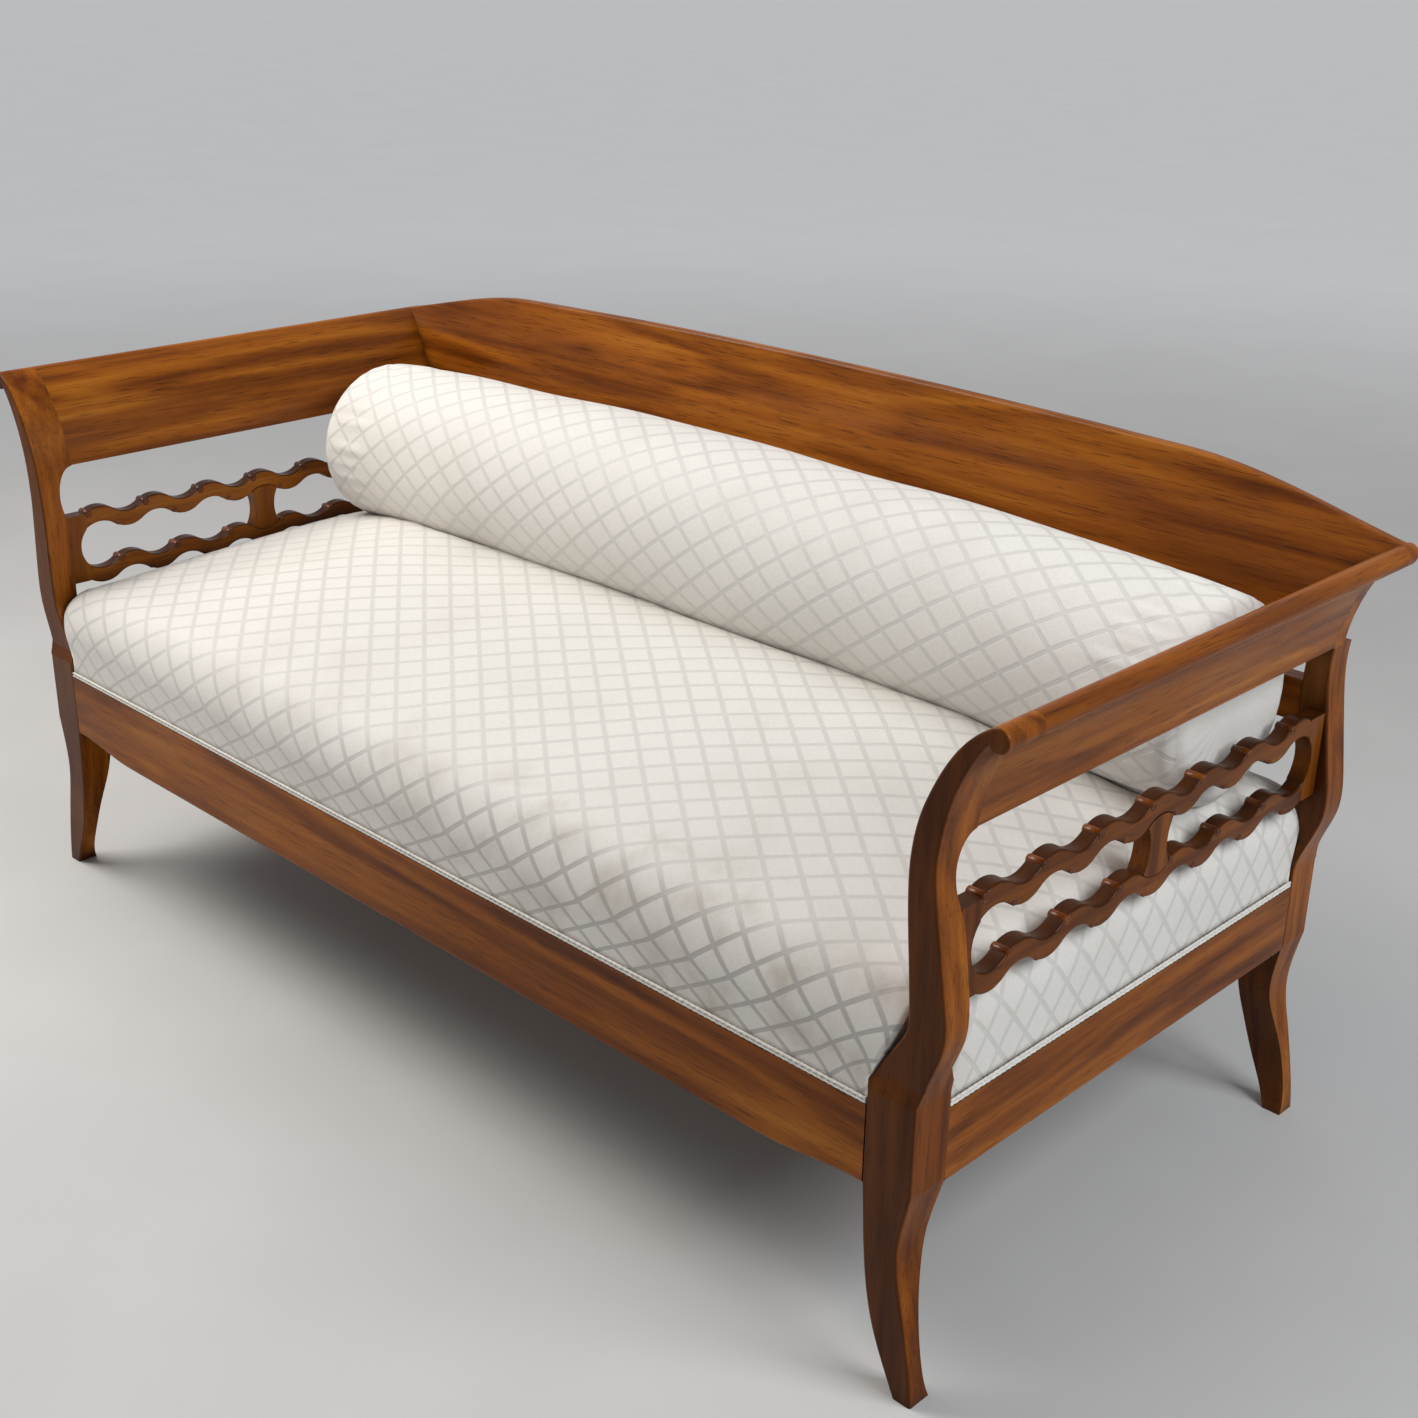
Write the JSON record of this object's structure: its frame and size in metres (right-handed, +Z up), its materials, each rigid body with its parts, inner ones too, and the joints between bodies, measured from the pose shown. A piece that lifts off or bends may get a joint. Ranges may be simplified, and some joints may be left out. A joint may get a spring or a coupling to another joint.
{
  "type": "three-seater sofa",
  "caption": "Walnut settee with flared rolled arms, wave-slat arm openwork, arched back board, sabre legs, domed damask seat and a loose back bolster.",
  "frame": {"origin": "on the floor under the middle of the sofa's length and depth", "axes": "+X along the length to the right of someone facing the sofa, +Y from front to back, +Z up"},
  "size_m": [1.9, 0.808, 0.868],
  "materials": {
    "walnut": "gloss",
    "beech": "matte",
    "screw_steel": "satin",
    "jute": "matte",
    "hair_stuffing": "matte",
    "damask": "satin",
    "braid": "satin"
  },
  "bodies": {
    "frame": {"front_left_post": "walnut", "front_right_post": "walnut", "rear_left_post": "walnut", "rear_right_post": "walnut", "front_seat_rail": "walnut", "rear_seat_rail": "walnut", "left_seat_rail": "walnut", "right_seat_rail": "walnut", "left_arm_rail": "walnut", "right_arm_rail": "walnut", "back_board": "walnut", "back_stay_rail": "walnut", "left_upper_slat": "walnut", "left_lower_slat": "walnut", "left_front_strap": "walnut", "left_rear_strap": "walnut", "left_centre_strut": "walnut", "right_upper_slat": "walnut", "right_lower_slat": "walnut", "right_front_strap": "walnut", "right_rear_strap": "walnut", "right_centre_strut": "walnut", "seat_stretcher": "beech", "corner_blocks": "beech", "frame_dowels": "beech", "corner_screws": "screw_steel", "seat_webbing_across": "jute", "seat_webbing_along": "jute", "seat_hessian": "jute", "seat_stuffing": "hair_stuffing", "seat_cover": "damask", "seat_braid": "braid"},
    "bolster": {"bolster_cover": "damask", "bolster_filling": "hair_stuffing"}
  },
  "joints": [
    {"name": "bolster_lift", "type": "slide", "parent": "frame", "child": "bolster", "axis": [0, 0, 1], "range_m": [0, 0.5]}
  ]
}
